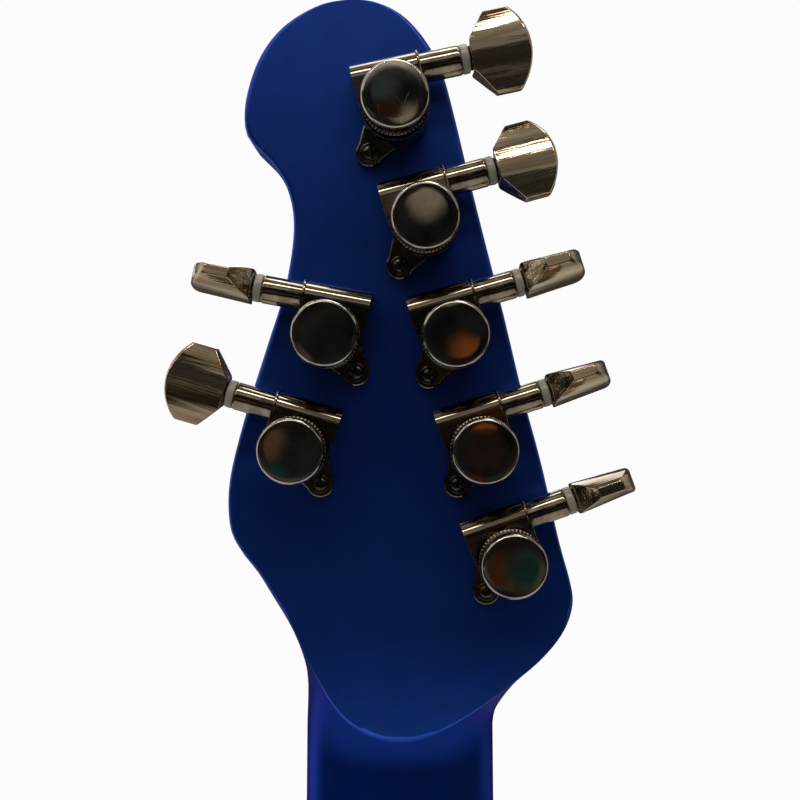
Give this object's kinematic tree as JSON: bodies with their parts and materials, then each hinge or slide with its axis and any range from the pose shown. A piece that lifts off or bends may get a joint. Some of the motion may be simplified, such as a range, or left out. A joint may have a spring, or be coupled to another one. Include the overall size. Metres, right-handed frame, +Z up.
{
  "type": "electric guitar",
  "caption": "Solid-body electric guitar with an offset flat headstock, locking tuners on both sides, a bolt-in neck, a fixed bridge with sliding saddles and two pickups.",
  "frame": {"origin": "on the centreline at the nut, on the glue line of neck and fretboard, between the two arms of a wall hanger", "axes": "+Z up the neck to the headstock, +Y out of the back, +X towards the treble side"},
  "size_m": [0.318, 0.066, 0.9616],
  "materials": {
    "satin_blue_wood": "satin blue paint over wood",
    "satin_blue_neck": "satin blue paint over maple",
    "rosewood": "oiled",
    "nut_black": "graphite",
    "rod_steel": "plain steel",
    "black_metal": "black plated",
    "black_plastic": "satin",
    "pot_steel": "zinc plated",
    "cover_plastic": "fine grain",
    "black_nickel": "black nickel, mirror",
    "lock_black_nickel": "black nickel, mirror",
    "post_steel": "nickel plated",
    "string_nickel": "nickel wound",
    "string_steel": "plain steel"
  },
  "bodies": {
    "guitar": {"body": "satin_blue_wood", "neck": "satin_blue_neck", "fretboard": "rosewood", "nut": "nut_black", "truss_rod": "rod_steel", "bridge_plate": "black_metal", "pickup_neck": "black_plastic", "pickup_bridge": "black_plastic", "volume_pot": "pot_steel", "tone_pot": "pot_steel", "selector_switch": "pot_steel", "output_jack": "black_metal", "control_cover": "cover_plastic", "strap_button_upper": "black_metal", "strap_button_end": "black_metal", "tuner_housing_bass_1": "black_nickel", "tuner_housing_bass_2": "black_nickel", "tuner_housing_bass_3": "black_nickel", "tuner_housing_bass_4": "black_nickel", "tuner_housing_bass_5": "black_nickel", "tuner_housing_treble_1": "black_nickel", "tuner_housing_treble_2": "black_nickel", "string_1": "string_nickel", "string_2": "string_nickel", "string_3": "string_nickel", "string_4": "string_nickel", "string_5": "string_steel", "string_6": "string_steel", "string_7": "string_steel"},
    "key_bass_1": {"tuner_key_bass_1": "black_nickel"},
    "post_bass_1": {"tuner_post_bass_1": "post_steel"},
    "lock_bass_1": {"lock_knob_bass_1": "lock_black_nickel"},
    "key_bass_2": {"tuner_key_bass_2": "black_nickel"},
    "post_bass_2": {"tuner_post_bass_2": "post_steel"},
    "lock_bass_2": {"lock_knob_bass_2": "lock_black_nickel"},
    "key_bass_3": {"tuner_key_bass_3": "black_nickel"},
    "post_bass_3": {"tuner_post_bass_3": "post_steel"},
    "lock_bass_3": {"lock_knob_bass_3": "lock_black_nickel"},
    "key_bass_4": {"tuner_key_bass_4": "black_nickel"},
    "post_bass_4": {"tuner_post_bass_4": "post_steel"},
    "lock_bass_4": {"lock_knob_bass_4": "lock_black_nickel"},
    "key_bass_5": {"tuner_key_bass_5": "black_nickel"},
    "post_bass_5": {"tuner_post_bass_5": "post_steel"},
    "lock_bass_5": {"lock_knob_bass_5": "lock_black_nickel"},
    "key_treble_1": {"tuner_key_treble_1": "black_nickel"},
    "post_treble_1": {"tuner_post_treble_1": "post_steel"},
    "lock_treble_1": {"lock_knob_treble_1": "lock_black_nickel"},
    "key_treble_2": {"tuner_key_treble_2": "black_nickel"},
    "post_treble_2": {"tuner_post_treble_2": "post_steel"},
    "lock_treble_2": {"lock_knob_treble_2": "lock_black_nickel"},
    "saddle_1": {"saddle_1": "black_metal"},
    "saddle_2": {"saddle_2": "black_metal"},
    "saddle_3": {"saddle_3": "black_metal"},
    "saddle_4": {"saddle_4": "black_metal"},
    "saddle_5": {"saddle_5": "black_metal"},
    "saddle_6": {"saddle_6": "black_metal"},
    "saddle_7": {"saddle_7": "black_metal"},
    "volume_knob": {"volume_knob": "black_metal"},
    "tone_knob": {"tone_knob": "black_metal"},
    "selector_lever": {"selector_lever": "black_metal"}
  },
  "joints": [
    {"name": "post_turn_bass_1", "type": "hinge", "parent": "guitar", "child": "post_bass_1", "pos_m": [-0.0254, 0.017, 0.0474], "axis": [0, 1, 0], "continuous": true},
    {"name": "key_turn_bass_1", "type": "hinge", "parent": "guitar", "child": "key_bass_1", "pos_m": [-0.02283, 0.0237, 0.05466], "axis": [-0.9426, 0, 0.3338], "continuous": true},
    {"name": "lock_turn_bass_1", "type": "hinge", "parent": "post_bass_1", "child": "lock_bass_1", "pos_m": [-0.0254, 0.017, 0.0474], "axis": [0, 1, 0], "range_deg": [0, 360]},
    {"name": "post_turn_bass_2", "type": "hinge", "parent": "guitar", "child": "post_bass_2", "pos_m": [-0.0188, 0.017, 0.073], "axis": [0, 1, 0], "continuous": true},
    {"name": "key_turn_bass_2", "type": "hinge", "parent": "guitar", "child": "key_bass_2", "pos_m": [-0.0165, 0.0237, 0.08035], "axis": [-0.9542, 0, 0.299], "continuous": true},
    {"name": "lock_turn_bass_2", "type": "hinge", "parent": "post_bass_2", "child": "lock_bass_2", "pos_m": [-0.0188, 0.017, 0.073], "axis": [0, 1, 0], "range_deg": [0, 360]},
    {"name": "post_turn_bass_3", "type": "hinge", "parent": "guitar", "child": "post_bass_3", "pos_m": [-0.0122, 0.017, 0.0987], "axis": [0, 1, 0], "continuous": true},
    {"name": "key_turn_bass_3", "type": "hinge", "parent": "guitar", "child": "key_bass_3", "pos_m": [-0.0101, 0.0237, 0.10611], "axis": [-0.9622, 0, 0.2723], "continuous": true},
    {"name": "lock_turn_bass_3", "type": "hinge", "parent": "post_bass_3", "child": "lock_bass_3", "pos_m": [-0.0122, 0.017, 0.0987], "axis": [0, 1, 0], "range_deg": [0, 360]},
    {"name": "post_turn_bass_4", "type": "hinge", "parent": "guitar", "child": "post_bass_4", "pos_m": [-0.0055, 0.017, 0.1243], "axis": [0, 1, 0], "continuous": true},
    {"name": "key_turn_bass_4", "type": "hinge", "parent": "guitar", "child": "key_bass_4", "pos_m": [-0.00353, 0.0237, 0.13175], "axis": [-0.9668, 0, 0.2554], "continuous": true},
    {"name": "lock_turn_bass_4", "type": "hinge", "parent": "post_bass_4", "child": "lock_bass_4", "pos_m": [-0.0055, 0.017, 0.1243], "axis": [0, 1, 0], "range_deg": [0, 360]},
    {"name": "post_turn_bass_5", "type": "hinge", "parent": "guitar", "child": "post_bass_5", "pos_m": [0.0011, 0.017, 0.15], "axis": [0, 1, 0], "continuous": true},
    {"name": "key_turn_bass_5", "type": "hinge", "parent": "guitar", "child": "key_bass_5", "pos_m": [0.00267, 0.0237, 0.15754], "axis": [-0.9789, 0, 0.2045], "continuous": true},
    {"name": "lock_turn_bass_5", "type": "hinge", "parent": "post_bass_5", "child": "lock_bass_5", "pos_m": [0.0011, 0.017, 0.15], "axis": [0, 1, 0], "range_deg": [0, 360]},
    {"name": "post_turn_treble_1", "type": "hinge", "parent": "guitar", "child": "post_treble_1", "pos_m": [0.0165, 0.017, 0.0989], "axis": [0, 1, 0], "continuous": true},
    {"name": "key_turn_treble_1", "type": "hinge", "parent": "guitar", "child": "key_treble_1", "pos_m": [0.01508, 0.0237, 0.10647], "axis": [0.9829, 0, 0.184], "continuous": true},
    {"name": "lock_turn_treble_1", "type": "hinge", "parent": "post_treble_1", "child": "lock_treble_1", "pos_m": [0.0165, 0.017, 0.0989], "axis": [0, 1, 0], "range_deg": [0, 360]},
    {"name": "post_turn_treble_2", "type": "hinge", "parent": "guitar", "child": "post_treble_2", "pos_m": [0.0242, 0.017, 0.073], "axis": [0, 1, 0], "continuous": true},
    {"name": "key_turn_treble_2", "type": "hinge", "parent": "guitar", "child": "key_treble_2", "pos_m": [0.02203, 0.0237, 0.08039], "axis": [0.9593, 0, 0.2823], "continuous": true},
    {"name": "lock_turn_treble_2", "type": "hinge", "parent": "post_treble_2", "child": "lock_treble_2", "pos_m": [0.0242, 0.017, 0.073], "axis": [0, 1, 0], "range_deg": [0, 360]},
    {"name": "saddle_slide_1", "type": "slide", "parent": "guitar", "child": "saddle_1", "axis": [0, 0, 1], "range_m": [-0.003, 0.003]},
    {"name": "saddle_slide_2", "type": "slide", "parent": "guitar", "child": "saddle_2", "axis": [0, 0, 1], "range_m": [-0.003, 0.003]},
    {"name": "saddle_slide_3", "type": "slide", "parent": "guitar", "child": "saddle_3", "axis": [0, 0, 1], "range_m": [-0.003, 0.003]},
    {"name": "saddle_slide_4", "type": "slide", "parent": "guitar", "child": "saddle_4", "axis": [0, 0, 1], "range_m": [-0.003, 0.003]},
    {"name": "saddle_slide_5", "type": "slide", "parent": "guitar", "child": "saddle_5", "axis": [0, 0, 1], "range_m": [-0.003, 0.003]},
    {"name": "saddle_slide_6", "type": "slide", "parent": "guitar", "child": "saddle_6", "axis": [0, 0, 1], "range_m": [-0.003, 0.003]},
    {"name": "saddle_slide_7", "type": "slide", "parent": "guitar", "child": "saddle_7", "axis": [0, 0, 1], "range_m": [-0.003, 0.003]},
    {"name": "volume_turn", "type": "hinge", "parent": "guitar", "child": "volume_knob", "pos_m": [0.086, 0, -0.662], "axis": [0, -1, 0], "range_deg": [0, 300]},
    {"name": "tone_turn", "type": "hinge", "parent": "guitar", "child": "tone_knob", "pos_m": [0.11, 0, -0.704], "axis": [0, -1, 0], "range_deg": [0, 300]},
    {"name": "selector_tilt", "type": "hinge", "parent": "guitar", "child": "selector_lever", "pos_m": [0.108, 0.003, -0.63], "axis": [1, 0, 0], "range_deg": [-16, 16]}
  ],
  "couplings": [
    {"joint": "post_turn_bass_1", "follows": "key_turn_bass_1", "ratio": -0.0625},
    {"joint": "post_turn_bass_2", "follows": "key_turn_bass_2", "ratio": -0.0625},
    {"joint": "post_turn_bass_3", "follows": "key_turn_bass_3", "ratio": -0.0625},
    {"joint": "post_turn_bass_4", "follows": "key_turn_bass_4", "ratio": -0.0625},
    {"joint": "post_turn_bass_5", "follows": "key_turn_bass_5", "ratio": -0.0625},
    {"joint": "post_turn_treble_1", "follows": "key_turn_treble_1", "ratio": 0.0625},
    {"joint": "post_turn_treble_2", "follows": "key_turn_treble_2", "ratio": 0.0625}
  ]
}
